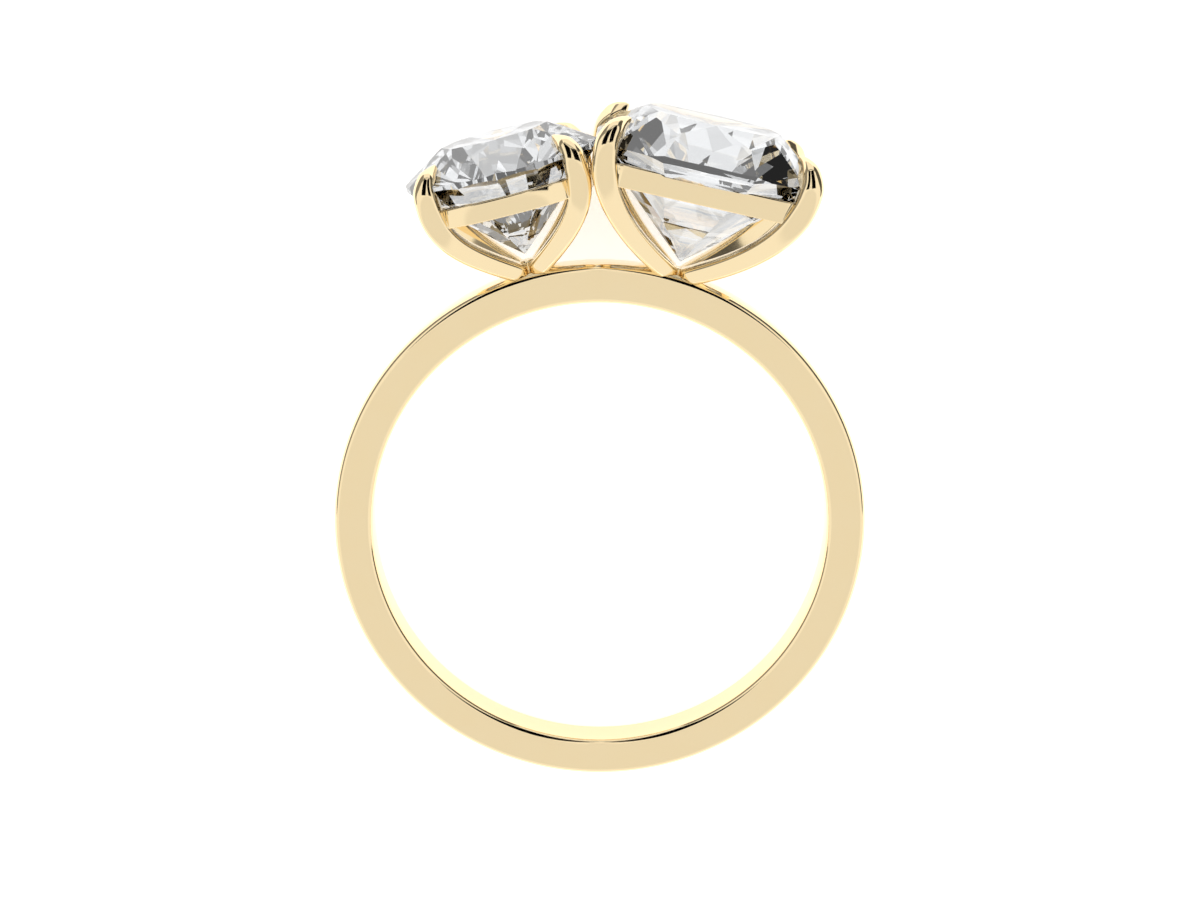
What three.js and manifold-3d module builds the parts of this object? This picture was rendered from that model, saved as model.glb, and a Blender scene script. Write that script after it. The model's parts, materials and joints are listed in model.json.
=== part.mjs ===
// A toi et moi ring in millimetres: a plain band that carries two claw settings side by side, one
// holding a round brilliant and one holding a cushion-cut stone. Band, rails and claws are soldered
// into one piece of gold, and each stone is a solid of its own that sits in its seat with a hair of air.
//
// The ring is drawn standing up, with X along the row of stones, Y from the finger hole to the stones
// and Z along the finger. At the end it is laid on its side, as it lies on a table, with Z up.

import * as THREE from 'three';
import { ConvexHull } from 'three/addons/math/ConvexHull.js';
import { mergeVertices, toCreasedNormals } from 'three/addons/utils/BufferGeometryUtils.js';
import Module from 'manifold-3d';

const wasm = await Module();
wasm.setup();

// Band
const BAND_BORE = 16.5; // diameter of the finger hole
const BAND_WALL = 1.39; // from the finger hole to the outside
const BAND_WIDTH = 1.55; // along the finger
const BAND_EDGE = 0.26; // radius of its four rounded edges
const BAND_STEPS = 96; // flats round the hoop

// Metal shared by both settings
const CLAW_WIDE = 0.83; // face of a claw that is seen from the front, where it is widest
const CLAW_DEEP = 0.66; // from that face to the back of the claw
const CLAW_EDGE = 0.17; // radius of a claw's long edges
const FOOT_SLOT = 0.12; // slit left between the feet of the left and right claws
const FOOT_SINK = 0.2; // how far the feet run into the band for the solder joint
const RAIL_WALL = 0.55; // thickness of the gallery rail
const RAIL_BITE = 0.14; // how far the rail's corners stop short of the middle of a claw
const SEAT_GAP = 0.05; // air between a stone and its seat

// One row for each stone. `power` shapes the girdle: 2 is an ellipse, 4 a soft rectangle.
// `at` is the place on the hoop, `lean` the tilt of the stone, both in degrees from straight up.
const ROUND = {
  halfLong: 3.44, // along the row of stones
  halfAcross: 3.44, // along the finger
  power: 2,
  corner: 42, // direction of the claws and of the corner facets, in degrees from the row of stones
  crown: 1.06, // from the middle of the girdle to the table
  pavilion: 3.26, // from the middle of the girdle to the culet
  tableShare: 0.56,
  at: -14.9,
  lean: -14.2,
  lift: 0.61, // from the band up to the culet
  railDrop: 0.76, // from the middle of the girdle down to the top of the gallery rail
  railTall: 0.66, // height of the gallery rail
  railInset: 0.42, // how much smaller the rail is than the girdle all round
};
const CUSHION = {
  halfLong: 3.88,
  halfAcross: 3.42,
  power: 3.6,
  corner: 40,
  crown: 1.37,
  pavilion: 3.75,
  tableShare: 0.62,
  at: 16.5,
  lean: 12.7,
  lift: 0.4,
  railDrop: 0.51,
  railTall: 0.77,
  railInset: 0.44,
};

// Facets shared by both cuts
const GIRDLE_THICK = 0.24;
const STAR_SHARE = 0.79; // where the star facets meet the girdle facets, as a share of the girdle's reach
const HALVES_SHARE = 0.24; // how near the lower girdle facets run to the culet
const GIRDLE_STEPS = 64;

// Path of a claw in its own upright plane, from the foot at the axis of the stone to the tip.
// The reach is measured from the girdle outward, and the height from the middle of the girdle.
const CLAW_PATHS = {
  round: {
    footRise: 30.4, // direction in which the claw leaves the foot, in degrees above level
    footPull: 2.74, // strength of the curve at the foot
    bowOut: 0.07, // widest place, outside the girdle
    bowHeight: -0.55,
    bowPull: 1.38,
    hookPull: 0.23,
    tipReach: -0.66,
    tipHeight: 0.66,
    tipFall: 32, // how steeply the tip points, in degrees above level
    tipPull: 0.98,
  },
  cushion: {
    footRise: 24.3,
    footPull: 2.62,
    bowOut: 0.33,
    bowHeight: -0.01,
    bowPull: 1.8,
    hookPull: 0.37,
    tipReach: -0.45,
    tipHeight: 0.93,
    tipFall: 0,
    tipPull: 0.37,
  },
};

// Section of a claw along its path: how far its face is turned from facing front and tipped up, in
// degrees, its size as shares, and how much deeper it is towards the stone, so that it bears on it.
const CLAW_SECTIONS = [
  { along: 0, turn: 0, tip: 0, wide: 0.75, deep: 0.91, bear: 0 },
  { along: 0.14, turn: 2, tip: 0, wide: 0.84, deep: 1, bear: 0 },
  { along: 0.45, turn: 8, tip: 0, wide: 0.88, deep: 1, bear: 0 },
  { along: 0.76, turn: 12, tip: 8, wide: 1, deep: 1, bear: 0.05 },
  { along: 0.88, turn: 18, tip: 40, wide: 0.93, deep: 0.88, bear: 0.25 },
  { along: 0.95, turn: 20, tip: 52, wide: 0.63, deep: 0.68, bear: 0.3 },
  { along: 1, turn: 22, tip: 60, wide: 0.12, deep: 0.3, bear: 0.2 },
];
const CLAW_STEPS = 20;
const RAIL_STEPS = 60;

// Weights in grams per cubic centimetre, used to find how the ring lies
const GOLD_DENSITY = 15.5;
const STONE_DENSITY = 3.52;

const radians = THREE.MathUtils.degToRad;

// Solids and meshes

function toSolid(geometry) {
  const bare = new THREE.BufferGeometry();
  bare.setAttribute('position', geometry.getAttribute('position'));
  bare.setIndex(geometry.getIndex());
  const welded = mergeVertices(bare, 1e-5);
  return new wasm.Manifold(new wasm.Mesh({
    numProp: 3,
    vertProperties: new Float32Array(welded.getAttribute('position').array),
    triVerts: new Uint32Array(welded.getIndex().array),
  }));
}

function toGeometry(solid) {
  const mesh = solid.getMesh();
  const geometry = new THREE.BufferGeometry();
  geometry.setAttribute('position', new THREE.BufferAttribute(new Float32Array(mesh.vertProperties), 3));
  geometry.setIndex(new THREE.BufferAttribute(new Uint32Array(mesh.triVerts), 1));
  return geometry;
}

function joinAll(solids) {
  return solids.reduce((whole, next) => whole.add(next));
}

// A skin over rings of points that turn the same way about the direction of travel, closed at both ends.
function skin(rings) {
  const sides = rings[0].length;
  const index = [];
  for (let i = 0; i + 1 < rings.length; i += 1) {
    for (let j = 0; j < sides; j += 1) {
      const a = i * sides + j;
      const b = i * sides + (j + 1) % sides;
      index.push(a, b, b + sides, a, b + sides, a + sides);
    }
  }
  const last = (rings.length - 1) * sides;
  for (let j = 1; j + 1 < sides; j += 1) {
    index.push(0, j + 1, j);
    index.push(last, last + j, last + j + 1);
  }
  const geometry = new THREE.BufferGeometry().setFromPoints(rings.flat());
  geometry.setIndex(index);
  return geometry;
}

// Points round a rectangle with rounded corners, turning from the first direction to the second.
function roundedRectangle(width, height, radius, cornerSteps) {
  const points = [];
  const signs = [[1, 1], [-1, 1], [-1, -1], [1, -1]];
  signs.forEach(([sx, sy], quarter) => {
    for (let k = 0; k <= cornerSteps; k += 1) {
      const angle = (quarter + k / cornerSteps) * Math.PI / 2;
      points.push(new THREE.Vector2(
        sx * (width / 2 - radius) + radius * Math.cos(angle),
        sy * (height / 2 - radius) + radius * Math.sin(angle),
      ));
    }
  });
  return points;
}

// The hoop: a rounded rectangle turned about the axis of the finger hole.
const bandOuter = BAND_BORE / 2 + BAND_WALL;

function makeBand() {
  const middle = BAND_BORE / 2 + BAND_WALL / 2;
  const profile = roundedRectangle(BAND_WALL, BAND_WIDTH, BAND_EDGE, 3)
    .map((point) => new THREE.Vector2(point.x + middle, point.y));
  profile.push(profile[0].clone());
  const hoop = new THREE.LatheGeometry(profile, BAND_STEPS);
  hoop.rotateX(Math.PI / 2);
  const solid = toSolid(hoop);
  return solid;
}

// Reach of a soft rectangle from its centre in a direction.
function softReach(halfLong, halfAcross, power, azimuth) {
  const along = Math.abs(Math.cos(azimuth) / halfLong) ** power;
  const across = Math.abs(Math.sin(azimuth) / halfAcross) ** power;
  return (along + across) ** (-1 / power);
}

function girdleReach(stone, azimuth) {
  return softReach(stone.halfLong, stone.halfAcross, stone.power, azimuth);
}

function stonePoint(stone, azimuth, share, height) {
  const reach = girdleReach(stone, azimuth) * share;
  return new THREE.Vector3(reach * Math.cos(azimuth), reach * Math.sin(azimuth), height);
}

function outline(reachOf, steps) {
  const points = [];
  for (let k = 0; k < steps; k += 1) {
    const azimuth = k / steps * Math.PI * 2;
    const reach = reachOf(azimuth);
    points.push(new THREE.Vector2(reach * Math.cos(azimuth), reach * Math.sin(azimuth)));
  }
  return points;
}

// Eight main directions: the four sides and the four corners.
function mainDirections(stone) {
  const corner = radians(stone.corner);
  const quarter = [0, corner, Math.PI / 2, Math.PI - corner];
  return quarter.concat(quarter.map((azimuth) => azimuth + Math.PI));
}

// Planes of all facets except the girdle: table, then crown and pavilion worked round the stone.
function facetPlanes(stone) {
  const mains = mainDirections(stone);
  const rim = GIRDLE_THICK / 2;
  const point = (azimuth, share, height) => stonePoint(stone, azimuth, share, height);
  const planes = [];
  const add = (a, b, c) => {
    const plane = new THREE.Plane().setFromCoplanarPoints(a, b, c);
    planes.push(plane.constant > 0 ? plane.negate() : plane);
  };
  add(point(0, 1, stone.crown), point(1, 1, stone.crown), point(2, 1, stone.crown));
  const culet = new THREE.Vector3(0, 0, -stone.pavilion);
  const starFall = (1 - STAR_SHARE) / (1 - stone.tableShare) * (stone.crown - rim);
  mains.forEach((azimuth, k) => {
    const before = k ? mains[k - 1] : mains[7] - Math.PI * 2;
    const after = k < 7 ? mains[k + 1] : mains[0] + Math.PI * 2;
    const half = (azimuth + after) / 2;
    const level = point(after, 1, 0).sub(point(before, 1, 0));
    const top = point(azimuth, stone.tableShare, stone.crown);
    const topAfter = point(after, stone.tableShare, stone.crown);
    const girdleTop = point(azimuth, 1, rim);
    const girdleAfter = point(after, 1, rim);
    const girdleHalf = point(half, 1, rim);
    const star = point(half, STAR_SHARE, rim + starFall * 1.06);
    add(top, girdleTop, girdleTop.clone().add(level));
    add(top, topAfter, star);
    add(star, girdleTop, girdleHalf);
    add(star, girdleHalf, girdleAfter);
    const low = point(azimuth, 1, -rim);
    const lowAfter = point(after, 1, -rim);
    const lowHalf = point(half, 1, -rim);
    const reach = girdleReach(stone, half) * Math.cos(half - azimuth) / girdleReach(stone, azimuth);
    const rise = (stone.pavilion - rim) * HALVES_SHARE * reach;
    const meet = point(half, HALVES_SHARE, -stone.pavilion + rise);
    add(culet, low, low.clone().add(level));
    add(meet, low, lowHalf);
    add(meet, lowHalf, lowAfter);
  });
  return planes;
}

// The stone is cut as it would be on the wheel: a blank with the girdle's outline, then facet by facet.
function makeStone(stone, grow = 0) {
  const shape = new THREE.Shape(outline((azimuth) => girdleReach(stone, azimuth) + grow, GIRDLE_STEPS));
  const blank = new THREE.ExtrudeGeometry(shape, {
    depth: stone.crown + stone.pavilion + 4 * grow + 1,
    bevelEnabled: false,
  });
  blank.translate(0, 0, -stone.pavilion - 2 * grow - 0.5);
  return facetPlanes(stone).reduce(
    (rough, { normal, constant }) => rough.trimByPlane(
      [-normal.x, -normal.y, -normal.z],
      constant - grow,
    ),
    toSolid(blank),
  );
}

// Size and turn of the claw's section at a place along it.
function clawSection(along) {
  const next = Math.max(1, CLAW_SECTIONS.findIndex((row) => row.along >= along));
  const from = CLAW_SECTIONS[next - 1];
  const to = CLAW_SECTIONS[next];
  const share = (along - from.along) / (to.along - from.along);
  const between = (key) => THREE.MathUtils.lerp(from[key], to[key], share);
  return {
    turn: radians(between('turn')),
    tip: radians(between('tip')),
    wide: CLAW_WIDE * between('wide'),
    deep: CLAW_DEEP * between('deep'),
    bear: between('bear'),
  };
}

function clawPath(stone, shape) {
  const reach = girdleReach(stone, radians(stone.corner));
  const foot = new THREE.Vector2(0, -stone.pavilion - stone.lift - FOOT_SINK);
  const rise = radians(shape.footRise);
  const bow = new THREE.Vector2(reach + shape.bowOut, shape.bowHeight);
  const tip = new THREE.Vector2(reach + shape.tipReach, shape.tipHeight);
  const fall = radians(shape.tipFall);
  const path = new THREE.CurvePath();
  path.add(new THREE.CubicBezierCurve(
    foot,
    new THREE.Vector2(shape.footPull * Math.cos(rise), foot.y + shape.footPull * Math.sin(rise)),
    new THREE.Vector2(bow.x, bow.y - shape.bowPull),
    bow,
  ));
  path.add(new THREE.CubicBezierCurve(
    bow,
    new THREE.Vector2(bow.x, bow.y + shape.hookPull),
    new THREE.Vector2(tip.x + shape.tipPull * Math.cos(fall), tip.y - shape.tipPull * Math.sin(fall)),
    tip,
  ));
  return path;
}

// The gallery rail runs under the girdle, and its corners are soft enough to run into the claws.
function makeRail(stone, shape) {
  const middle = -stone.railDrop - stone.railTall / 2;
  const climb = clawPath(stone, shape).curves[0].getPoints(60);
  const claw = climb.reduce((best, point) => (
    Math.abs(point.y - middle) < Math.abs(best.y - middle) ? point : best));
  const corner = radians(stone.corner);
  const halfLong = stone.halfLong - stone.railInset;
  const halfAcross = stone.halfAcross - stone.railInset;
  let soft = 2;
  let square = 20;
  for (let k = 0; k < 30; k += 1) {
    const power = (soft + square) / 2;
    if (softReach(halfLong, halfAcross, power, corner) < claw.x - RAIL_BITE) {
      soft = power;
    } else {
      square = power;
    }
  }
  const reach = (azimuth) => softReach(halfLong, halfAcross, square, azimuth);
  const ring = new THREE.Shape(outline(reach, RAIL_STEPS));
  ring.holes.push(new THREE.Path(outline((azimuth) => reach(azimuth) - RAIL_WALL, RAIL_STEPS)));
  const rail = new THREE.ExtrudeGeometry(ring, { depth: stone.railTall, bevelEnabled: false });
  rail.translate(0, 0, middle - stone.railTall / 2);
  return toSolid(rail);
}

// One claw: a rounded bar swept along its path, turned from facing front to facing outward on the way up.
function makeClaw(stone, shape, left, near) {
  const path = clawPath(stone, shape);
  const corner = radians(stone.corner);
  const out = new THREE.Vector3(left * Math.cos(corner), near * Math.sin(corner), 0);
  const rings = [];
  for (let k = 0; k <= CLAW_STEPS; k += 1) {
    const along = k / CLAW_STEPS;
    const place = path.getPointAt(along);
    const heading = path.getTangentAt(along);
    const centre = out.clone().multiplyScalar(place.x).setZ(place.y);
    const tangent = out.clone().multiplyScalar(heading.x).setZ(heading.y);
    const { turn, tip, wide, deep, bear } = clawSection(along);
    const face = new THREE.Vector3(left * Math.sin(turn), near * Math.cos(turn), Math.tan(tip));
    face.addScaledVector(tangent, -face.dot(tangent)).normalize();
    const side = new THREE.Vector3().crossVectors(tangent, face);
    centre.addScaledVector(face, -bear / 2);
    const edge = Math.min(CLAW_EDGE, wide * 0.3, deep * 0.3);
    rings.push(roundedRectangle(deep + bear, wide, edge, 2).map((point) => centre.clone()
      .addScaledVector(face, point.x)
      .addScaledVector(side, point.y)));
  }
  return toSolid(skin(rings)).trimByPlane([left, 0, 0], FOOT_SLOT / 2);
}

// From the stone's own frame, with its table up, to its place on the band.
function placement(stone) {
  const at = radians(stone.at);
  const lean = radians(stone.lean);
  const up = new THREE.Vector3(Math.sin(lean), Math.cos(lean), 0);
  const along = new THREE.Vector3(Math.cos(lean), -Math.sin(lean), 0);
  const away = new THREE.Vector3(0, 0, -1);
  const culetReach = bandOuter + stone.lift;
  const centre = new THREE.Vector3(Math.sin(at), Math.cos(at), 0).multiplyScalar(culetReach);
  centre.addScaledVector(up, stone.pavilion);
  return new THREE.Matrix4().makeBasis(along, away, up).setPosition(centre);
}

function makeHead(stone, shape) {
  const claws = [[-1, -1], [-1, 1], [1, -1], [1, 1]]
    .map(([left, near]) => makeClaw(stone, shape, left, near));
  const metal = joinAll([makeRail(stone, shape), ...claws]).subtract(makeStone(stone, SEAT_GAP));
  return metal.transform(placement(stone).toArray());
}

// Centre of mass of solids, each with its density.
function centreOfMass(parts) {
  const sum = new THREE.Vector3();
  let mass = 0;
  for (const { geometry, density } of parts) {
    const position = geometry.getAttribute('position');
    const index = geometry.getIndex();
    for (let k = 0; k < index.count; k += 3) {
      const [a, b, c] = [0, 1, 2]
        .map((j) => new THREE.Vector3().fromBufferAttribute(position, index.getX(k + j)));
      const share = density * a.dot(b.clone().cross(c)) / 6;
      sum.add(a.add(b).add(c).multiplyScalar(share / 4));
      mass += share;
    }
  }
  return sum.divideScalar(mass);
}

// The way the ring lies on its side: on the face of its hull that is under the centre of mass.
function restingTurn(parts) {
  const points = parts.flatMap(({ geometry }) => {
    const position = geometry.getAttribute('position');
    return Array.from({ length: position.count }, (_, k) => new THREE.Vector3().fromBufferAttribute(position, k));
  });
  const hull = new ConvexHull().setFromPoints(points);
  const centre = centreOfMass(parts);
  const hit = new THREE.Vector3();
  const under = hull.faces.filter((face) => {
    const corners = [face.edge, face.edge.next, face.edge.prev].map((edge) => edge.head().point);
    const ray = new THREE.Ray(centre, face.normal);
    return face.normal.z < -0.8 && ray.intersectTriangle(...corners, false, hit) !== null;
  });
  under.sort((a, b) => a.normal.z - b.normal.z);
  return new THREE.Quaternion().setFromUnitVectors(under[0].normal, new THREE.Vector3(0, 0, -1));
}

const gold = joinAll([makeBand(), makeHead(ROUND, CLAW_PATHS.round), makeHead(CUSHION, CLAW_PATHS.cushion)]);
const roundStone = makeStone(ROUND).transform(placement(ROUND).toArray());
const cushionStone = makeStone(CUSHION).transform(placement(CUSHION).toArray());

const parts = [
  { name: 'gold_mount', geometry: toGeometry(gold), density: GOLD_DENSITY },
  { name: 'round_stone', geometry: toGeometry(roundStone), density: STONE_DENSITY },
  { name: 'cushion_stone', geometry: toGeometry(cushionStone), density: STONE_DENSITY },
];

// Lay the ring down, then put the middle of its underside at the origin.
const turn = restingTurn(parts);
parts.forEach(({ geometry }) => geometry.applyQuaternion(turn));
const box = parts.reduce(
  (whole, { geometry }) => whole.union(new THREE.Box3().setFromBufferAttribute(geometry.getAttribute('position'))),
  new THREE.Box3(),
);
const middle = box.getCenter(new THREE.Vector3());
parts.forEach(({ geometry }) => geometry.translate(-middle.x, -middle.y, -box.min.z));

const goldMetal = new THREE.MeshStandardMaterial({ color: 0xe8c47a, roughness: 0.08, metalness: 1 });
const clearStone = new THREE.MeshStandardMaterial({
  color: 0xf4f6f8,
  roughness: 0.02,
  metalness: 0,
  flatShading: true,
});

const ring = new THREE.Group();
for (const { name, geometry } of parts) {
  const isGold = name === 'gold_mount';
  const mesh = new THREE.Mesh(isGold ? toCreasedNormals(geometry, 0.6) : geometry, isGold ? goldMetal : clearStone);
  mesh.name = name;
  ring.add(mesh);
}

export default ring;
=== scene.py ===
# %% [markdown]
# # A toi et moi ring in Blender
#
# The ring has a plain polished hoop, two settings of curved claws soldered to it, and two clear stones:
# a round brilliant and a longer cushion cut. This lesson starts from the measured solids of the ring,
# which say where everything lies, and rebuilds each part as fine as a close-up needs.

# %% Load the frame
import json
import math

import bmesh
import bpy
import numpy as np
from mathutils import Matrix, Quaternion, Vector


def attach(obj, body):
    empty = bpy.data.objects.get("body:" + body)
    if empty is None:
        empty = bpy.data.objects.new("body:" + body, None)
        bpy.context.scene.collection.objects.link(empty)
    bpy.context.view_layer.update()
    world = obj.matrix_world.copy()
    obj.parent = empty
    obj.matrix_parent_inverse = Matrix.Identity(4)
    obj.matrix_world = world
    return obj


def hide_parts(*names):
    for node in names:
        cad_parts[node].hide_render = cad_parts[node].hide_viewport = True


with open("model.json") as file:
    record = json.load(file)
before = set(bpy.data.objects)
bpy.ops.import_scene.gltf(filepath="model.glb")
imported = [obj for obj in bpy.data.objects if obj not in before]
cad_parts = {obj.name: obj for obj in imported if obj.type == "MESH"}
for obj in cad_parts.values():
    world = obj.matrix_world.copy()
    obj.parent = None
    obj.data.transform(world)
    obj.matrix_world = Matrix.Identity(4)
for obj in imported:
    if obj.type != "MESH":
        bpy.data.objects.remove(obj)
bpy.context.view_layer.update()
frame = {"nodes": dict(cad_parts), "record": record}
MM = 0.001
print("frame nodes:", sorted(frame["nodes"]))

# %% [markdown]
# ## Where the ring lies
#
# It is easiest to build a ring as a goldsmith holds it: X along the row of stones, Y from the finger hole
# up to the stones, Z along the finger, with the middle of the finger hole at the origin. On the table it
# lies tipped on its side, so everything is built upright in millimetres and then turned by one matrix.
# That matrix could be typed in as numbers. Measuring it from the solids is safer, because it stays right
# when a size changes: the side of the band gives the direction of the finger, and the two lowest points
# of the stones, their culets, give the rest.

# %% Find the ring's own frame
BAND_BORE = 16.5
BAND_WALL = 1.39
BAND_WIDTH = 1.55
BAND_OUTER = BAND_BORE / 2 + BAND_WALL

ROUND = {
    "half_long": 3.44,
    "half_across": 3.44,
    "power": 2.0,
    "corner": 42.0,
    "crown": 1.06,
    "pavilion": 3.26,
    "table": 0.56,
    "at": -14.9,
    "lean": -14.2,
    "lift": 0.61,
    "rail_drop": 0.76,
    "rail_tall": 0.66,
    "rail_inset": 0.42,
}
CUSHION = {
    "half_long": 3.88,
    "half_across": 3.42,
    "power": 3.6,
    "corner": 40.0,
    "crown": 1.37,
    "pavilion": 3.75,
    "table": 0.62,
    "at": 16.5,
    "lean": 12.7,
    "lift": 0.4,
    "rail_drop": 0.51,
    "rail_tall": 0.77,
    "rail_inset": 0.44,
}


def culet_upright(stone):
    at = math.radians(stone["at"])
    return Vector((math.sin(at), math.cos(at), 0)) * (BAND_OUTER + stone["lift"])


def culet_lying(node):
    points = [node.matrix_world @ vertex.co / MM for vertex in node.data.vertices]
    return min(points, key=lambda point: point.y)


def ring_matrix():
    finger = Vector(frame["record"]["mounts"][0]["axis"]).normalized()
    low_round = culet_lying(frame["nodes"]["round_stone"])
    low_cushion = culet_lying(frame["nodes"]["cushion_stone"])
    row = culet_upright(CUSHION) - culet_upright(ROUND)
    slant = math.atan2(row.y, row.x)
    across = low_cushion - low_round
    across = (across - finger * across.dot(finger)).normalized()
    x_axis = Quaternion(finger, -slant) @ across
    y_axis = finger.cross(x_axis)
    turn = Matrix((x_axis, y_axis, finger)).transposed()
    centre = low_round - turn @ culet_upright(ROUND)
    return Matrix.Translation(centre * MM) @ turn.to_4x4() @ Matrix.Scale(MM, 4)


LYING = ring_matrix()
print("middle of the finger hole, mm:", [round(value / MM, 3) for value in LYING.translation])

# %% [markdown]
# ## Small tools
#
# A hand-built mesh is a list of points and faces. One helper turns such a list into an object that rides
# on the ring, and one colour function turns the hex values that people read into the linear values that
# a renderer adds up. One more helper adds a shader node together with its settings and links.


# %% Mesh and colour helpers
def make_piece(name, points, faces, smooth_angle=None):
    mesh = bpy.data.meshes.new(name)
    mesh.from_pydata([tuple(LYING @ Vector(point)) for point in points], [], faces)
    mesh.validate()
    mesh.update()
    piece = bpy.data.objects.new(name, mesh)
    bpy.context.scene.collection.objects.link(piece)
    if smooth_angle is not None:
        mesh.shade_smooth()
        mesh.set_sharp_from_angle(angle=math.radians(smooth_angle))
    return piece


def linear(hex_value):
    channels = [int(hex_value[k : k + 2], 16) / 255 for k in (1, 3, 5)]
    curve = [c / 12.92 if c <= 0.04045 else ((c + 0.055) / 1.055) ** 2.4 for c in channels]
    return (*curve, 1.0)


def add(tree, kind, links=(), **settings):
    """Adds a node. A setting named like a socket goes to it, and links are (input, source) pairs."""
    node = tree.nodes.new(kind)
    for name, value in settings.items():
        socket = name.replace("_", " ").title()
        if socket in node.inputs:
            node.inputs[socket].default_value = value
        else:
            setattr(node, name, value)
    for name, source in links:
        tree.links.new(source, node.inputs[name])
    return node


def new_material(name):
    material = bpy.data.materials.new(name)
    material.use_nodes = True
    material.node_tree.nodes.clear()
    return material, material.node_tree


# %% [markdown]
# ## The photographer's camera
#
# The camera looks at the side of the band from a little towards the stones' end, 75 mm away with a
# longish lens. Its place is fixed in the ring's upright frame and carried down with the ring, so the
# picture keeps the same angle to the ring although the ring now lies on its side.

# %% Camera
CAMERA_OFF = 0.011
CAMERA_RISE = 21.7
CAMERA_BACK = 72.0
CAMERA_PITCH = 14.76
LENS = 61.56


def make_camera():
    data = bpy.data.cameras.new("photo_camera")
    data.lens = LENS
    data.clip_start = 0.001
    data.clip_end = 10
    camera = bpy.data.objects.new("photo_camera", data)
    bpy.context.scene.collection.objects.link(camera)
    pitch = math.radians(CAMERA_PITCH)
    view = Vector((0, -math.sin(pitch), -math.cos(pitch)))
    up = Vector((0, math.cos(pitch), -math.sin(pitch)))
    turn = Matrix((view.cross(up), up, -view)).transposed()
    place = Matrix.Translation((CAMERA_OFF, CAMERA_RISE, CAMERA_BACK)) @ turn.to_4x4()
    location, rotation, _ = (LYING @ place).decompose()
    camera.location = location
    camera.rotation_mode = "QUATERNION"
    camera.rotation_quaternion = rotation
    bpy.context.scene.camera = camera
    return camera


camera = make_camera()
print("camera, mm:", [round(value / MM, 1) for value in camera.location])

# %% [markdown]
# ## The hoop
#
# The real band is rolled or cast as a flat-sided hoop, then its edges are broken with a file and polished
# to small rounds. A rounded rectangle turned about the finger is exactly that, and it keeps the two flat
# sides truly flat, which is what gives them their even, calm shine.

# %% Build the hoop
BAND_EDGE = 0.26
BAND_EDGE_STEPS = 8
HOOP_STEPS = 288


def rounded_rectangle(width, height, radius, steps):
    points = []
    for quarter, (sx, sy) in enumerate(((1, 1), (-1, 1), (-1, -1), (1, -1))):
        for k in range(steps + 1):
            angle = (quarter + k / steps) * math.pi / 2
            points.append((
                sx * (width / 2 - radius) + radius * math.cos(angle),
                sy * (height / 2 - radius) + radius * math.sin(angle),
            ))
    return points


def closed_skin(rings, loop=False):
    """Faces over rings of points. A loop joins the last ring to the first, an open skin gets two caps."""
    sides = len(rings[0])
    points = [point for ring in rings for point in ring]
    faces = []
    for i in range(len(rings) if loop else len(rings) - 1):
        a, b = i * sides, (i + 1) % len(rings) * sides
        faces += [(a + j, a + (j + 1) % sides, b + (j + 1) % sides, b + j) for j in range(sides)]
    if not loop:
        last = (len(rings) - 1) * sides
        faces.append(tuple(range(sides - 1, -1, -1)))
        faces.append(tuple(range(last, last + sides)))
    return points, faces


def hoop_skin():
    middle = BAND_BORE / 2 + BAND_WALL / 2
    profile = rounded_rectangle(BAND_WALL, BAND_WIDTH, BAND_EDGE, BAND_EDGE_STEPS)
    rings = []
    for k in range(HOOP_STEPS):
        angle = -k / HOOP_STEPS * 2 * math.pi
        rings.append([
            ((middle + r) * math.sin(angle), (middle + r) * math.cos(angle), z) for r, z in profile
        ])
    return closed_skin(rings, loop=True)


hoop = make_piece("hoop", *hoop_skin(), smooth_angle=40)
print("hoop faces:", len(hoop.data.polygons))

# %% [markdown]
# ## The stones
#
# A cutter grinds a stone facet by facet against a wheel. The same can be done here: start from a blank
# with the girdle's outline and slice it with one plane for every facet. Modelling the facets by hand
# would leave them slightly bent, and a bent facet smears the light. Planes keep every facet flat.
#
# Both stones have the same plan: a table, eight kites, eight stars and sixteen girdle facets above, and
# eight mains with sixteen halves below. The cushion only has a squarer outline.

# %% The girdle's outline
GIRDLE_THICK = 0.24
GIRDLE_STEPS = 64


def soft_reach(half_long, half_across, power, azimuth):
    along = abs(math.cos(azimuth) / half_long) ** power
    across = abs(math.sin(azimuth) / half_across) ** power
    return (along + across) ** (-1 / power)


def girdle_reach(stone, azimuth):
    return soft_reach(stone["half_long"], stone["half_across"], stone["power"], azimuth)


def stone_point(stone, azimuth, share, height):
    reach = girdle_reach(stone, azimuth) * share
    return Vector((reach * math.cos(azimuth), reach * math.sin(azimuth), height))


for stone in (ROUND, CUSHION):
    print("girdle's reach at the claws, mm:", round(girdle_reach(stone, math.radians(stone["corner"])), 2))

# %% [markdown]
# A facet is fixed by three points that it passes through. The stars end a share of the way from the
# girdle to the table, and they are lifted a hair so that they don't meet the kites in one flat face.

# %% One plane for each facet
STAR_SHARE = 0.79
STAR_LIFT = 1.06
HALVES_SHARE = 0.24


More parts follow.
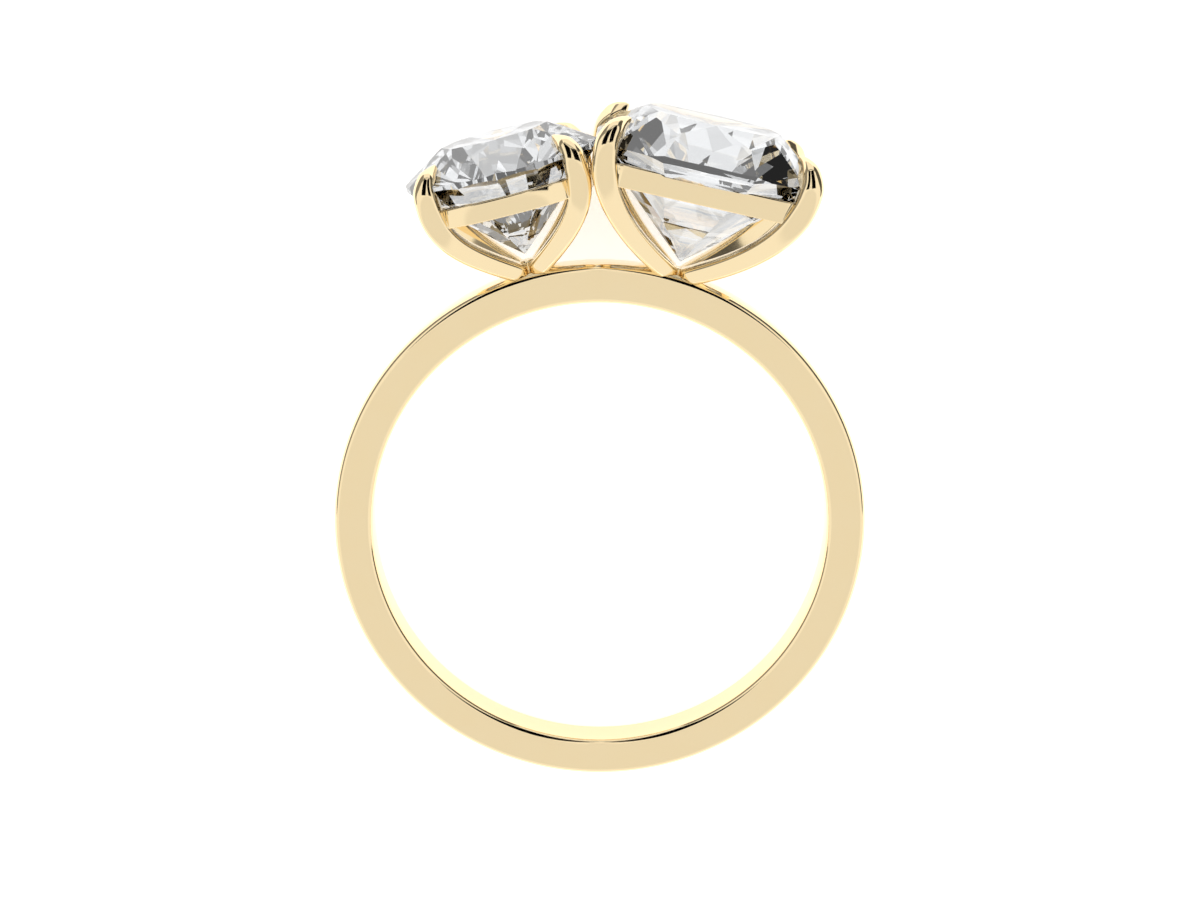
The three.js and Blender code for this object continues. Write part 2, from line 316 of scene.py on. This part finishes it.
def facet_planes(stone):
    """The cutting planes as (point, outward normal)."""
    corner = math.radians(stone["corner"])
    quarter = [0, corner, math.pi / 2, math.pi - corner]
    mains = quarter + [azimuth + math.pi for azimuth in quarter]
    rim = GIRDLE_THICK / 2
    planes = [(Vector((0, 0, stone["crown"])), Vector((0, 0, 1)))]

    def cut(a, b, c):
        normal = (b - a).cross(c - a).normalized()
        planes.append((a, normal if a.dot(normal) > 0 else -normal))

    culet = Vector((0, 0, -stone["pavilion"]))
    star_fall = (1 - STAR_SHARE) / (1 - stone["table"]) * (stone["crown"] - rim)
    for k, azimuth in enumerate(mains):
        before = mains[k - 1] - (0 if k else 2 * math.pi)
        after = mains[(k + 1) % 8] + (2 * math.pi if k == 7 else 0)
        half = (azimuth + after) / 2
        level = stone_point(stone, after, 1, 0) - stone_point(stone, before, 1, 0)
        top = stone_point(stone, azimuth, stone["table"], stone["crown"])
        top_after = stone_point(stone, after, stone["table"], stone["crown"])
        high = stone_point(stone, azimuth, 1, rim)
        high_half = stone_point(stone, half, 1, rim)
        high_after = stone_point(stone, after, 1, rim)
        star = stone_point(stone, half, STAR_SHARE, rim + star_fall * STAR_LIFT)
        cut(top, high, high + level)
        cut(top, top_after, star)
        cut(star, high, high_half)
        cut(star, high_half, high_after)
        low = stone_point(stone, azimuth, 1, -rim)
        low_half = stone_point(stone, half, 1, -rim)
        low_after = stone_point(stone, after, 1, -rim)
        reach = girdle_reach(stone, half) * math.cos(half - azimuth) / girdle_reach(stone, azimuth)
        rise = (stone["pavilion"] - rim) * HALVES_SHARE * reach
        meet = stone_point(stone, half, HALVES_SHARE, -stone["pavilion"] + rise)
        cut(culet, low, low + level)
        cut(meet, low, low_half)
        cut(meet, low_half, low_after)
    return planes


print("planes for each stone:", len(facet_planes(ROUND)), len(facet_planes(CUSHION)))

# %% [markdown]
# The blank is a prism a little taller than the stone. Slicing it with each plane in turn and closing the
# hole with one flat face is what the wheel does. The same cutter, grown by a hair, later makes the seats.

# %% Cut the stones
BLANK_SPARE = 1


def stone_matrix(stone):
    """From the stone's own frame, table up, to its place on the upright ring."""
    lean = math.radians(stone["lean"])
    up = Vector((math.sin(lean), math.cos(lean), 0))
    along = Vector((math.cos(lean), -math.sin(lean), 0))
    turn = Matrix((along, Vector((0, 0, -1)), up)).transposed()
    return Matrix.Translation(culet_upright(stone) + up * stone["pavilion"]) @ turn.to_4x4()


def cut_stone(stone, grow=0.0):
    """Points and flat faces of the finished stone, or of a seat for it that is `grow` larger."""
    cutter = bmesh.new()
    rings = []
    for height in (-stone["pavilion"] - BLANK_SPARE, stone["crown"] + BLANK_SPARE):
        ring = []
        for k in range(GIRDLE_STEPS):
            azimuth = k / GIRDLE_STEPS * 2 * math.pi
            reach = girdle_reach(stone, azimuth) + grow
            ring.append((reach * math.cos(azimuth), reach * math.sin(azimuth), height))
        rings.append(ring)
    points, faces = closed_skin(rings)
    corners = [cutter.verts.new(point) for point in points]
    for face in faces:
        cutter.faces.new([corners[k] for k in face])
    for point, normal in facet_planes(stone):
        everything = cutter.verts[:] + cutter.edges[:] + cutter.faces[:]
        sliced = bmesh.ops.bisect_plane(
            cutter,
            geom=everything,
            plane_co=point + normal * grow,
            plane_no=normal,
            dist=1e-5,
            clear_outer=True,
        )
        rim = [item for item in sliced["geom_cut"] if isinstance(item, bmesh.types.BMEdge)]
        if rim:
            bmesh.ops.contextual_create(cutter, geom=rim)
    bmesh.ops.remove_doubles(cutter, verts=cutter.verts[:], dist=1e-4)
    bmesh.ops.recalc_face_normals(cutter, faces=cutter.faces[:])
    cutter.verts.index_update()
    place = stone_matrix(stone)
    points = [place @ vertex.co for vertex in cutter.verts]
    faces = [tuple(vertex.index for vertex in face.verts) for face in cutter.faces]
    cutter.free()
    return points, faces


round_brilliant = make_piece("round_brilliant", *cut_stone(ROUND))
cushion_brilliant = make_piece("cushion_brilliant", *cut_stone(CUSHION))
for stone_piece in (round_brilliant, cushion_brilliant):
    print(stone_piece.name, "facets:", len(stone_piece.data.polygons))

# %% [markdown]
# ## The claws and their rails
#
# Each claw is a flat bar, bent like a tulip petal: it leaves the foot almost level, bows out past the
# girdle and hooks over the crown in a point. In the workshop it is drawn wire, forged and filed. A curve
# object with a bevel could do it, but then the section couldn't change along the way. So its middle line
# is drawn first, as two curves that meet at the widest place, and a section is carried along it later.
# Reaches and heights are in millimetres from the stone's axis and girdle, and pulls are how far each end
# of a curve keeps its direction.

# %% The line of a claw
FOOT_SINK = 0.2
CLAW_STEPS = 84
LOWER_POINTS, UPPER_POINTS = 400, 200

ROUND_CLAW = {
    "foot_rise": 30.4,
    "foot_pull": 2.74,
    "bow_out": 0.07,
    "bow_height": -0.55,
    "bow_pull": 1.38,
    "hook_pull": 0.23,
    "tip_reach": -0.66,
    "tip_height": 0.66,
    "tip_fall": 32,
    "tip_pull": 0.98,
}
CUSHION_CLAW = {
    "foot_rise": 24.3,
    "foot_pull": 2.62,
    "bow_out": 0.33,
    "bow_height": -0.01,
    "bow_pull": 1.8,
    "hook_pull": 0.37,
    "tip_reach": -0.45,
    "tip_height": 0.93,
    "tip_fall": 0,
    "tip_pull": 0.37,
}


def bend(points, count):
    """Places on a cubic curve with these four control points."""
    a, b, c, d = (np.array(point) for point in points)
    t = np.linspace(0, 1, count)[:, None]
    return (1 - t) ** 3 * a + 3 * (1 - t) ** 2 * t * b + 3 * (1 - t) * t * t * c + t**3 * d


def claw_path(stone, claw):
    """Even steps along the claw in its own upright plane: reach from the stone's axis, and height."""
    reach = girdle_reach(stone, math.radians(stone["corner"]))
    foot = (0, -stone["pavilion"] - stone["lift"] - FOOT_SINK)
    rise, fall = math.radians(claw["foot_rise"]), math.radians(claw["tip_fall"])
    bow = (reach + claw["bow_out"], claw["bow_height"])
    tip = (reach + claw["tip_reach"], claw["tip_height"])
    leave = (claw["foot_pull"] * math.cos(rise), foot[1] + claw["foot_pull"] * math.sin(rise))
    arrive = (tip[0] + claw["tip_pull"] * math.cos(fall), tip[1] - claw["tip_pull"] * math.sin(fall))
    lower = bend((foot, leave, (bow[0], bow[1] - claw["bow_pull"]), bow), LOWER_POINTS)
    upper = bend((bow, (bow[0], bow[1] + claw["hook_pull"]), arrive, tip), UPPER_POINTS)
    dense = np.concatenate([lower, upper[1:]])
    gone = np.concatenate([[0], np.cumsum(np.hypot(*np.diff(dense, axis=0).T))])
    even = np.linspace(0, gone[-1], CLAW_STEPS + 1)
    return np.stack([np.interp(even, gone, dense[:, k]) for k in (0, 1)], axis=1)


for stone, claw in ((ROUND, ROUND_CLAW), (CUSHION, CUSHION_CLAW)):
    print("widest reach of its claws, mm:", round(float(claw_path(stone, claw)[:, 0].max()), 2))

# %% [markdown]
# The face of a claw stays to the front for most of its length, flat with crisp edges. Over the shoulder
# it tips up, narrows to a point and swells in the middle, and that swelling is what draws the twin dark
# strokes of the reflections. A short table of sections steers all of this.

# %% Carry the section along it
CLAW_WIDE = 0.85
CLAW_DEEP = 0.66
CLAW_EDGE = 0.16
CLAW_EDGE_SHARE = 0.3
CLAW_EDGE_STEPS = 6
CLAW_FACE_STEPS = 8

# Along the claw: how far its face is turned from the front and tipped up, in degrees, then its width and
# depth as shares, then in millimetres how much deeper it is towards the stone, so that it bears on it,
# and how far its face swells in the middle.
CLAW_SECTIONS = (
    (0, 0, 0, 0.71, 0.91, 0, 0.02),
    (0.14, 0, 0, 0.81, 1, 0, 0.02),
    (0.45, 0, 0, 0.88, 1, 0, 0.02),
    (0.72, 2, 6, 1, 0.97, 0.03, 0.05),
    (0.84, 4, 30, 0.97, 0.86, 0.1, 0.14),
    (0.92, 7, 47, 0.76, 0.7, 0.18, 0.16),
    (1, 10, 60, 0.12, 0.26, 0.08, 0.03),
)


def claw_section(deep, wide, edge, swell):
    """A rounded rectangle whose outer face, at its largest first coordinate, swells in the middle."""
    outline = rounded_rectangle(deep, wide, edge, CLAW_EDGE_STEPS)
    flat = wide / 2 - edge
    outline += [(deep / 2, flat * (2 * k / CLAW_FACE_STEPS - 1)) for k in range(1, CLAW_FACE_STEPS)]
    return [(u + (swell * (1 - (2 * v / wide) ** 2) if u > 0 else 0), v) for u, v in outline]


def claw_rings(stone, claw, left, near):
    path = claw_path(stone, claw)
    corner = math.radians(stone["corner"])
    out = Vector((left * math.cos(corner), near * math.sin(corner), 0))
    steps = np.gradient(path, axis=0)
    table = np.array(CLAW_SECTIONS)
    rings = []
    for k, (place, step) in enumerate(zip(path, steps)):
        along = k / CLAW_STEPS
        turn, tip, wide, deep, bear, swell = (
            np.interp(along, table[:, 0], column) for column in table.T[1:]
        )
        wide, deep = wide * CLAW_WIDE, deep * CLAW_DEEP
        turn, tip = math.radians(turn), math.radians(tip)
        tangent = (out * step[0] + Vector((0, 0, step[1]))).normalized()
        face = Vector((left * math.sin(turn), near * math.cos(turn), math.tan(tip)))
        face = (face - tangent * face.dot(tangent)).normalized()
        side = tangent.cross(face)
        centre = out * place[0] + Vector((0, 0, place[1])) - face * bear / 2
        edge = min(CLAW_EDGE, wide * CLAW_EDGE_SHARE, deep * CLAW_EDGE_SHARE)
        section = claw_section(deep + bear, wide, edge, swell)
        rings.append([centre + face * u + side * v for u, v in section])
    return rings


print("sections in the table:", len(CLAW_SECTIONS))

# %% [markdown]
# The gallery rail is a flat hoop under the girdle. Seen from above it is a rounded square, and it has to
# run into the four claws at its corners. So the roundness is found by halving a range again and again
# until the corner reaches the claws, and it stays right when a claw is bent further out.

# %% Gallery rail
RAIL_WALL = 0.55
RAIL_BITE = 0.14
RAIL_EDGE = 0.05
RAIL_EDGE_STEPS = 4
RAIL_STEPS = 192
SOFTEST, SQUAREST = 2.0, 20.0
HALVINGS = 30


def rail_rings(stone, claw):
    middle = -stone["rail_drop"] - stone["rail_tall"] / 2
    path = claw_path(stone, claw)
    climb = path[path[:, 1] < claw["bow_height"]]
    target = climb[np.argmin(np.abs(climb[:, 1] - middle)), 0] - RAIL_BITE
    corner = math.radians(stone["corner"])
    half_long = stone["half_long"] - stone["rail_inset"]
    half_across = stone["half_across"] - stone["rail_inset"]
    soft, square = SOFTEST, SQUAREST
    for _ in range(HALVINGS):
        power = (soft + square) / 2
        if soft_reach(half_long, half_across, power, corner) < target:
            soft = power
        else:
            square = power
    profile = rounded_rectangle(RAIL_WALL, stone["rail_tall"], RAIL_EDGE, RAIL_EDGE_STEPS)
    rings = []
    for k in range(RAIL_STEPS):
        azimuth = k / RAIL_STEPS * 2 * math.pi
        reach = soft_reach(half_long, half_across, square, azimuth) - RAIL_WALL / 2
        rings.append([
            Vector(((reach + u) * math.cos(azimuth), (reach + u) * math.sin(azimuth), middle + v))
            for u, v in profile
        ])
    return rings


print("points round each rail:", RAIL_STEPS)

# %% [markdown]
# Four feet meet under each stone. A narrow slot is left between left and right, with the ends rounded as
# a file leaves them. Behind the slot the feet are gathered on a short peg, which also keeps the floor
# from shining through. Whether the real ring has one can't be seen in a picture from this side.

# %% Feet and peg
FOOT_SLOT = 0.06
FOOT_ROUND = 0.2
PEG_RADIUS = 0.26
PEG_LOW = 0.2
PEG_SIDES = 24


def tuck_foot(point, left, near):
    """Leaves a slot between the feet of neighbouring claws, and rounds the end of the foot beside it."""
    away = max(left * point.x, FOOT_SLOT / 2)
    point.x = left * away
    short = FOOT_ROUND - (away - FOOT_SLOT / 2)
    if short > 0 and near * point.y > 0:
        point.y -= near * (FOOT_ROUND - math.sqrt(FOOT_ROUND**2 - short**2))


def peg_rings(stone):
    """The round peg, from inside the band to just below the culet."""
    angles = [k / PEG_SIDES * 2 * math.pi for k in range(PEG_SIDES)]
    bottom = -stone["pavilion"] - stone["lift"] - FOOT_SINK
    top = -stone["pavilion"] - PEG_LOW
    return [
        [Vector((PEG_RADIUS * math.cos(a), PEG_RADIUS * math.sin(a), height)) for a in angles]
        for height in (bottom, top)
    ]


print("slot between the feet, mm:", FOOT_SLOT)

# %% [markdown]
# Claws, peg and rail overlap as loose skins. One exact boolean joins them and at the same time takes away
# the seat, which is the stone's own shape grown by a hair, so that metal and stone never touch.

# %% Join the settings and cut the seats
SEAT_GAP = 0.02


def join_skins(skins):
    points, faces = [], []
    for more_points, more_faces in skins:
        start = len(points)
        points += more_points
        faces += [tuple(start + k for k in face) for face in more_faces]
    return points, faces


def setting_skin(stone, claw):
    skins = []
    for left in (-1, 1):
        for near in (-1, 1):
            rings = claw_rings(stone, claw, left, near)
            for ring in rings:
                for point in ring:
                    tuck_foot(point, left, near)
            skins.append(closed_skin(rings))
    skins.append(closed_skin(peg_rings(stone)))
    skins.append(closed_skin(rail_rings(stone, claw), loop=True))
    points, faces = join_skins(skins)
    place = stone_matrix(stone)
    return [place @ Vector(point) for point in points], faces


def set_of(stone, claw, name):
    metal = make_piece(name, *setting_skin(stone, claw), smooth_angle=35)
    seat = make_piece(name + "_seat", *cut_stone(stone, SEAT_GAP))
    for piece in (metal, seat):
        shape = bmesh.new()
        shape.from_mesh(piece.data)
        bmesh.ops.recalc_face_normals(shape, faces=shape.faces[:])
        shape.to_mesh(piece.data)
        shape.free()
    carve = metal.modifiers.new("seat", "BOOLEAN")
    carve.operation = "DIFFERENCE"
    carve.solver = "EXACT"
    carve.use_self = True
    carve.object = seat
    graph = bpy.context.evaluated_depsgraph_get()
    carved = bpy.data.meshes.new_from_object(metal.evaluated_get(graph))
    metal.modifiers.clear()
    metal.data = carved
    bpy.data.objects.remove(seat)
    return metal


round_setting = set_of(ROUND, ROUND_CLAW, "round_setting")
cushion_setting = set_of(CUSHION, CUSHION_CLAW, "cushion_setting")
for metal in (round_setting, cushion_setting):
    print(metal.name, "faces:", len(metal.data.polygons))

# %% [markdown]
# ## Polished 18 carat gold
#
# The ring is cast in a yellow gold alloy and buffed with rouge. Polished gold has almost no colour of its
# own: what the eye sees is the room, tinted. A metal's base colour is the tint of a straight reflection,
# so it is the colour of the rounded edges, which mirror the white tent. The flat sides mirror a pale grey
# card and come out a little darker than that.
# The buff leaves lines about 0.02 mm apart, far too fine to show, so they are drawn 0.2 mm apart and
# very shallow, only enough to keep the reflections from looking like glass.

# %% Gold
BUFF_LINES_PER_M = 1 / (0.2 * MM)
CLOUDS_PER_M = 900.0
SHINE_FINEST, SHINE_DULLEST = 0.06, 0.1
BUFF_STRENGTH = 0.02
BUFF_DEPTH = 0.01 * MM


def polished_gold():
    material, tree = new_material("polished_18ct_gold")
    place = add(tree, "ShaderNodeTexCoord")
    clouds = add(
        tree,
        "ShaderNodeTexNoise",
        [("Vector", place.outputs["Object"])],
        scale=CLOUDS_PER_M,
        detail=3.0,
    )
    lines = add(
        tree,
        "ShaderNodeTexNoise",
        [("Vector", place.outputs["Object"])],
        scale=BUFF_LINES_PER_M,
        detail=2.0,
    )
    shine = add(
        tree,
        "ShaderNodeMapRange",
        [("Value", clouds.outputs["Fac"])],
        to_min=SHINE_FINEST,
        to_max=SHINE_DULLEST,
    )
    tint = add(tree, "ShaderNodeMix", [("Factor", clouds.outputs["Fac"])], data_type="RGBA")
    tint.inputs["A"].default_value = linear("#fbe4b6")
    tint.inputs["B"].default_value = linear("#fbe6bb")
    grain = add(
        tree,
        "ShaderNodeBump",
        [("Height", lines.outputs["Fac"])],
        strength=BUFF_STRENGTH,
        distance=BUFF_DEPTH,
    )
    metal = add(
        tree,
        "ShaderNodeBsdfPrincipled",
        [
            ("Base Color", tint.outputs["Result"]),
            ("Roughness", shine.outputs["Result"]),
            ("Normal", grain.outputs["Normal"]),
        ],
        metallic=1.0,
    )
    add(tree, "ShaderNodeOutputMaterial", [("Surface", metal.outputs["BSDF"])])
    return material


gold = polished_gold()
for metal in (hoop, round_setting, cushion_setting):
    metal.data.materials.clear()
    metal.data.materials.append(gold)
print("gold on", [metal.name for metal in (hoop, round_setting, cushion_setting)])

# %% [markdown]
# ## Clear brilliant-cut stone
#
# The stones are colourless and polished on a diamond wheel. Diamond bends light more than any common
# clear stone, with an index of 2.42. Light that enters the crown bounces inside and leaves again, and
# each facet picks its own patch of the room, which gives the play of dark, grey and white.
# A trace of grey in the colour is all the tint there is. The polish varies by a hair, in spots that are
# drawn 2.5 mm apart so that they show at all.

# %% Stones
STONE_IOR = 2.417
HAZE_PER_M = 1 / (2.5 * MM)
POLISH_DULLEST = 0.004


def clear_stone():
    material, tree = new_material("clear_brilliant_cut_stone")
    place = add(tree, "ShaderNodeTexCoord")
    haze = add(
        tree,
        "ShaderNodeTexNoise",
        [("Vector", place.outputs["Object"])],
        scale=HAZE_PER_M,
        detail=1.0,
    )
    polish = add(
        tree,
        "ShaderNodeMapRange",
        [("Value", haze.outputs["Fac"])],
        to_max=POLISH_DULLEST,
    )
    glass = add(
        tree,
        "ShaderNodeBsdfPrincipled",
        [("Roughness", polish.outputs["Result"])],
        base_color=linear("#f2f4f6"),
        transmission_weight=1.0,
    )
    glass.inputs["IOR"].default_value = STONE_IOR
    add(tree, "ShaderNodeOutputMaterial", [("Surface", glass.outputs["BSDF"])])
    return material


stone_finish = clear_stone()
for stone_piece in (round_brilliant, cushion_brilliant):
    stone_piece.data.materials.append(stone_finish)
print("stones finished:", stone_finish.name)

# %% [markdown]
# ## Join the gold and put the pieces in place of the solids
#
# Hoop and settings are soldered, so they become one object, which stands for the gold solid. The two
# stones stand for theirs.

# %% Put the pieces in place
def solder(pieces, name):
    bpy.ops.object.select_all(action="DESELECT")
    for piece in pieces:
        piece.select_set(True)
    bpy.context.view_layer.objects.active = pieces[0]
    bpy.ops.object.join()
    pieces[0].name = name
    pieces[0].data.name = name
    return pieces[0]


ring_gold = solder([hoop, round_setting, cushion_setting], "soldered_gold_ring")
for piece, node, slot in (
    (ring_gold, "gold_mount", "gold"),
    (round_brilliant, "round_stone", "clear_stone"),
    (cushion_brilliant, "cushion_stone", "clear_stone"),
):
    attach(piece, "root")
    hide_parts(node)
print("gold triangles:", sum(len(face.vertices) - 2 for face in ring_gold.data.polygons))

# %% [markdown]
# ## Table top
#
# The ring lies on a light table: a sheet of white acrylic that is lit from above and glows a little from
# below, so it stays white even in the narrow gaps between the claws. A plain white sheet would turn grey
# there, because the gold keeps the light away.

# %% Light table
SHEET_HALF = 600 * MM
SHEET_GLOW = 0.5


def make_sheet(name, half, height, material):
    h = half
    mesh = bpy.data.meshes.new(name)
    corners = [(-h, -h, height), (h, -h, height), (h, h, height), (-h, h, height)]
    mesh.from_pydata(corners, [], [(0, 1, 2, 3)])
    mesh.materials.append(material)
    sheet = bpy.data.objects.new(name, mesh)
    bpy.context.scene.collection.objects.link(sheet)
    return sheet


def white_acrylic():
    material, tree = new_material("white_acrylic_sheet")
    acrylic = add(
        tree,
        "ShaderNodeBsdfPrincipled",
        base_color=linear("#f4f4f4"),
        roughness=0.6,
        emission_color=linear("#ffffff"),
        emission_strength=SHEET_GLOW,
    )
    add(tree, "ShaderNodeOutputMaterial", [("Surface", acrylic.outputs["BSDF"])])
    return material


make_sheet("light_table", SHEET_HALF, 0, white_acrylic())
print("light table glow:", SHEET_GLOW)

# %% [markdown]
# ## White tent and cards
#
# A jeweller photographs polished metal in a white tent, because metal shows whatever is round it. Pure
# white makes gold look flat, so cards hang outside the picture. A tent made of a white world is enough
# here, and it needs no lamps. The paper of a card glows by itself, so its tone stays as chosen, and an
# oval one can fade out at its rim, which leaves no hard line across the flat gold.

# %% Tent and paper
def make_tent():
    world = bpy.data.worlds.new("white_tent")
    world.use_nodes = True
    world.node_tree.nodes["Background"].inputs["Color"].default_value = linear("#ffffff")
    world.node_tree.nodes["Background"].inputs["Strength"].default_value = 1.0
    bpy.context.scene.world = world


def paper(name, colour, soft=None):
    """Evenly lit paper. With `soft`, an oval that fades to the tent's white over that outer share."""
    material, tree = new_material(name)
    glow = add(tree, "ShaderNodeEmission", color=linear(colour))
    add(tree, "ShaderNodeOutputMaterial", [("Surface", glow.outputs["Emission"])])
    if soft is None:
        return material
    place = add(tree, "ShaderNodeTexCoord")
    centred = add(
        tree,
        "ShaderNodeMapping",
        [("Vector", place.outputs["UV"])],
        location=(-1, -1, 0),
        scale=(2, 2, 2),
    )
    inward = add(
        tree, "ShaderNodeTexGradient", [("Vector", centred.outputs["Vector"])], gradient_type="SPHERICAL"
    )
    shade = add(
        tree,
        "ShaderNodeMapRange",
        [("Value", inward.outputs["Fac"])],
        interpolation_type="SMOOTHSTEP",
        from_max=soft,
    )
    tone = add(tree, "ShaderNodeMix", [("Factor", shade.outputs["Result"])], data_type="RGBA")
    tone.inputs["A"].default_value = linear("#ffffff")
    tone.inputs["B"].default_value = linear(colour)
    tree.links.new(tone.outputs["Result"], glow.inputs["Color"])
    return material


make_tent()
bpy.context.scene.view_settings.view_transform = "Standard"
print("tent:", bpy.context.scene.world.name)

# %% [markdown]
# Each card is given by the direction in which it hangs, seen from the upright ring, and by how large it
# looks from there. The pale one below the lens calms the flat faces, and leaves the rounded edges
# brighter. The black strips beside the lens draw the twin dark strokes on the shoulders of the claws, and
# the narrow one above closes them off. The two at the sides darken the edges of the claws and the end
# facets of the stones.

# %% Hang the cards
CARD_AWAY = 150
CARD_CORNERS = ((-1, -1), (1, -1), (1, 1), (-1, 1))
# Name, colour, soft share, direction to the right of the finger's axis and above it, size across and
# upright, all in degrees
CARDS = (
    ("pale_card_below_lens", "#efefef", 0.3, 0, -20, 84, 66),
    ("black_strip_left", "#020202", None, -21, 33, 26, 42),
    ("black_strip_right", "#020202", None, 21, 33, 26, 42),
    ("lens", "#020202", 0.2, 0, 17, 4, 4),
    ("black_edge_above", "#020202", None, 0, 60, 76, 3),
    ("grey_card_left", "#8a8a8a", None, -96, 25, 62, 76),
    ("dark_card_right", "#585858", None, 96, 25, 62, 76),
)


def make_card(name, finish, away, wide, tall):
    """A card that hangs in the direction `away` from the ring and faces it. Its size is in degrees."""
    across = Vector((0, 1, 0)).cross(away).normalized()
    up = away.cross(across)
    w, h = (CARD_AWAY * math.tan(math.radians(angle / 2)) for angle in (wide, tall))
    points = [away * CARD_AWAY + across * x * w + up * y * h for x, y in CARD_CORNERS]
    card = make_piece(name, points, [(0, 1, 2, 3)])
    for loop, (x, y) in zip(card.data.uv_layers.new(name="card").data, CARD_CORNERS):
        loop.uv = ((x + 1) / 2, (y + 1) / 2)
    card.data.materials.append(finish)
    card.visible_camera = False
    card.visible_diffuse = False
    card.visible_shadow = False


def hang_cards():
    for name, colour, soft, azimuth, height, wide, tall in CARDS:
        a, e = math.radians(azimuth), math.radians(height)
        away = Vector((math.sin(a) * math.cos(e), math.sin(e), math.cos(a) * math.cos(e)))
        make_card(name, paper(name, colour, soft), away, wide, tall)


hang_cards()
print("cards hung:", len(CARDS))

# %% [markdown]
# ## Patches for the stones
#
# In an all-white room a clear stone turns white as well and its facets vanish. A real room is full of
# darker things, and each facet finds its own. They would dull the gold and the table, so this is a trick
# that only a renderer allows: two sheets of paper patches, one just above the table and one overhead,
# that are seen by nothing but the light that leaves a stone. A few cards would do for one facet each,
# and random patches give all of them something to pick up.

# %% Patch sheets
PATCHES_HALF = 150 * MM
LOW_HEIGHT, LOW_PATCH = 0.05 * MM, 1.6
HIGH_HEIGHT, HIGH_PATCH = 40 * MM, 12.0
# Each tone is used from this share of the patches on
PATCH_TONES = (
    (0.0, "#282828"),
    (0.12, "#b4b4b4"),
    (0.3, "#e2e2e2"),
    (0.5, "#ffffff"),
)


def patch_paper(name, patch):
    """Paper patches about `patch` millimetres across."""
    material, tree = new_material(name)
    place = add(tree, "ShaderNodeTexCoord")
    cells = add(
        tree,
        "ShaderNodeTexVoronoi",
        [("Vector", place.outputs["Object"])],
        scale=1 / (patch * MM),
    )
    chance = add(tree, "ShaderNodeSeparateColor", [("Color", cells.outputs["Color"])])
    choice = add(tree, "ShaderNodeValToRGB", [("Fac", chance.outputs["Red"])])
    ramp = choice.color_ramp
    ramp.interpolation = "CONSTANT"
    for k, (start, colour) in enumerate(PATCH_TONES):
        stop = ramp.elements[k] if k < 2 else ramp.elements.new(start)
        stop.position = start
        stop.color = linear(colour)
    glow = add(tree, "ShaderNodeEmission", [("Color", choice.outputs["Color"])])
    add(tree, "ShaderNodeOutputMaterial", [("Surface", glow.outputs["Emission"])])
    return material


for name, height, patch in (
    ("patches_below", LOW_HEIGHT, LOW_PATCH),
    ("patches_above", HIGH_HEIGHT, HIGH_PATCH),
):
    sheet = make_sheet(name, PATCHES_HALF, height, patch_paper(name, patch))
    sheet.visible_camera = False
    sheet.visible_diffuse = False
    sheet.visible_glossy = False
    sheet.visible_shadow = False
    print(name, "patch, mm:", patch)

# %% [markdown]
# ## Finish

# %% Finish
print("scene built")
